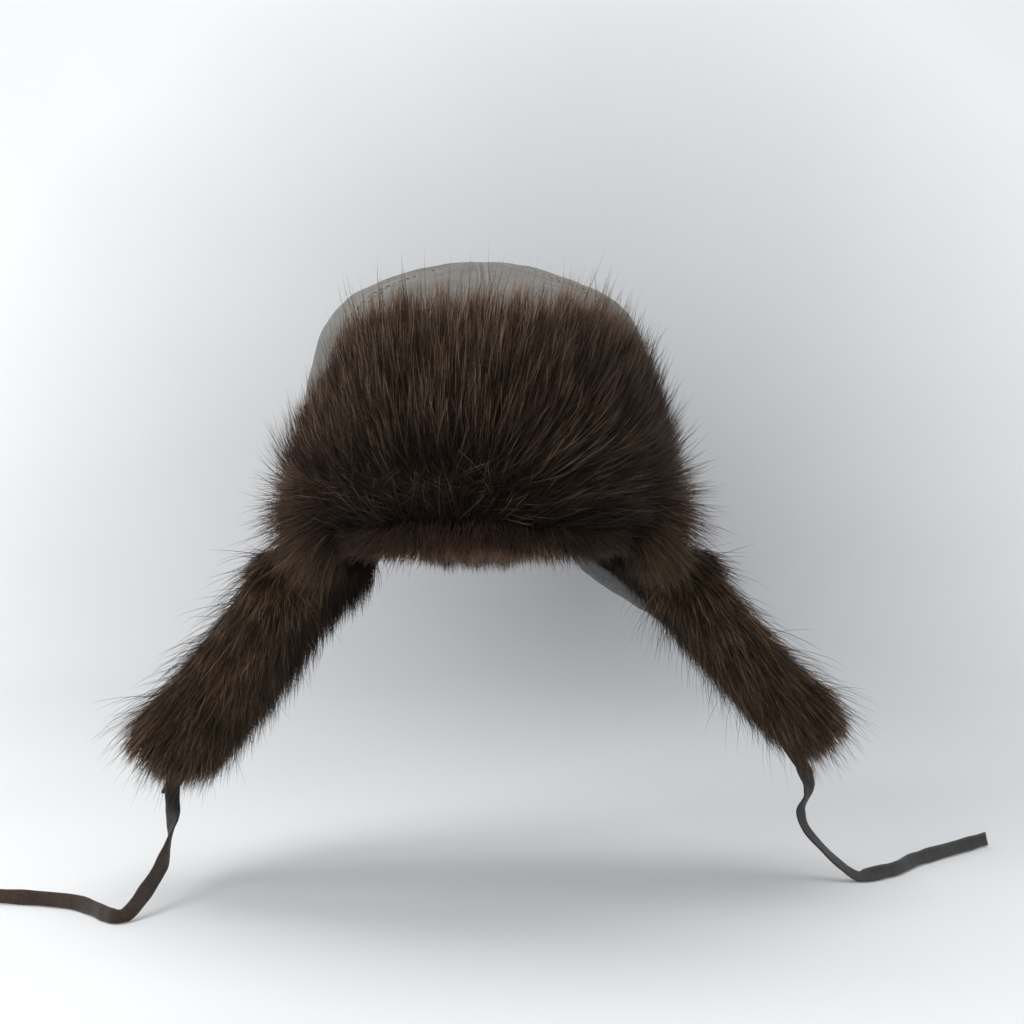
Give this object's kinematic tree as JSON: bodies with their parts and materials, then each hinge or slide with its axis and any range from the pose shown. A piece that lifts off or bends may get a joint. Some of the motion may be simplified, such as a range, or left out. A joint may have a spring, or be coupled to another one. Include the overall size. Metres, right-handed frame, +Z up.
{
  "type": "trapper hat",
  "caption": "Leather trapper hat with a gored crown, a turned-up fur front flap, fur-lined ear flaps with hanging leather ties, and a short neck flap.",
  "frame": {"origin": "centre of the head opening, in the plane of the crown's lower edge", "axes": "+Z up through the crown, -Y the front, +X the wearer's left"},
  "size_m": [0.5637, 0.2445, 0.3417],
  "materials": {
    "crown_leather": "matt finished leather, mid grey, fine grain, worn paler on raised edges",
    "fur": "long dense fur, dark brown at the root, grey-brown at the tips",
    "padding": "needled batting and stiffener felt, hidden between the layers",
    "lining": "quilted satin lining, near black, soft sheen",
    "sweatband_leather": "dark brown smooth leather sweatband",
    "tie_leather": "thin strap leather, grey face and brown suede back"
  },
  "bodies": {
    "crown": {"gore_front_left": "crown_leather", "gore_left": "crown_leather", "gore_back_left": "crown_leather", "gore_back_right": "crown_leather", "gore_right": "crown_leather", "gore_front_right": "crown_leather", "crown_batting": "padding", "lining_band": "lining", "lining_tip": "lining", "sweatband": "sweatband_leather", "front_flap_backing": "crown_leather", "front_flap_stiffener": "padding", "front_flap_fur": "fur"},
    "neck_flap": {"neck_flap_leather": "crown_leather", "neck_flap_padding": "padding", "neck_flap_fur": "fur"},
    "ear_flap_left": {"ear_flap_leather_left": "crown_leather", "ear_flap_padding_left": "padding", "ear_flap_fur_left": "fur", "ear_flap_facing_left": "crown_leather", "tie_tab_left": "tie_leather"},
    "tie_left": {"tie_left": "tie_leather"},
    "ear_flap_right": {"ear_flap_leather_right": "crown_leather", "ear_flap_padding_right": "padding", "ear_flap_fur_right": "fur", "ear_flap_facing_right": "crown_leather", "tie_tab_right": "tie_leather"},
    "tie_right": {"tie_right": "tie_leather"}
  },
  "joints": [
    {"name": "ear_flap_left_fold", "type": "hinge", "parent": "crown", "child": "ear_flap_left", "pos_m": [0.0935, 0.0374, -0.003], "axis": [0.2773, -0.9608, 0], "range_deg": [-41, 137]},
    {"name": "ear_flap_right_fold", "type": "hinge", "parent": "crown", "child": "ear_flap_right", "pos_m": [-0.0935, 0.0374, -0.003], "axis": [0.2773, 0.9608, 0], "range_deg": [-36, 142]},
    {"name": "neck_flap_fold", "type": "hinge", "parent": "crown", "child": "neck_flap", "pos_m": [0, 0.111, -0.0025], "axis": [1, 0, 0], "range_deg": [0, 150]},
    {"name": "tie_left_bend", "type": "hinge", "parent": "ear_flap_left", "child": "tie_left", "pos_m": [0.1778, 0.0472, -0.1435], "axis": [0.2773, -0.9608, 0], "range_deg": [-121, 37]},
    {"name": "tie_right_bend", "type": "hinge", "parent": "ear_flap_right", "child": "tie_right", "pos_m": [-0.1658, 0.0437, -0.1503], "axis": [0.2773, 0.9608, 0], "range_deg": [-125, 32]}
  ],
  "couplings": [
    {"joint": "tie_left_bend", "follows": "ear_flap_left_fold", "ratio": -0.88},
    {"joint": "tie_right_bend", "follows": "ear_flap_right_fold", "ratio": -0.88}
  ]
}
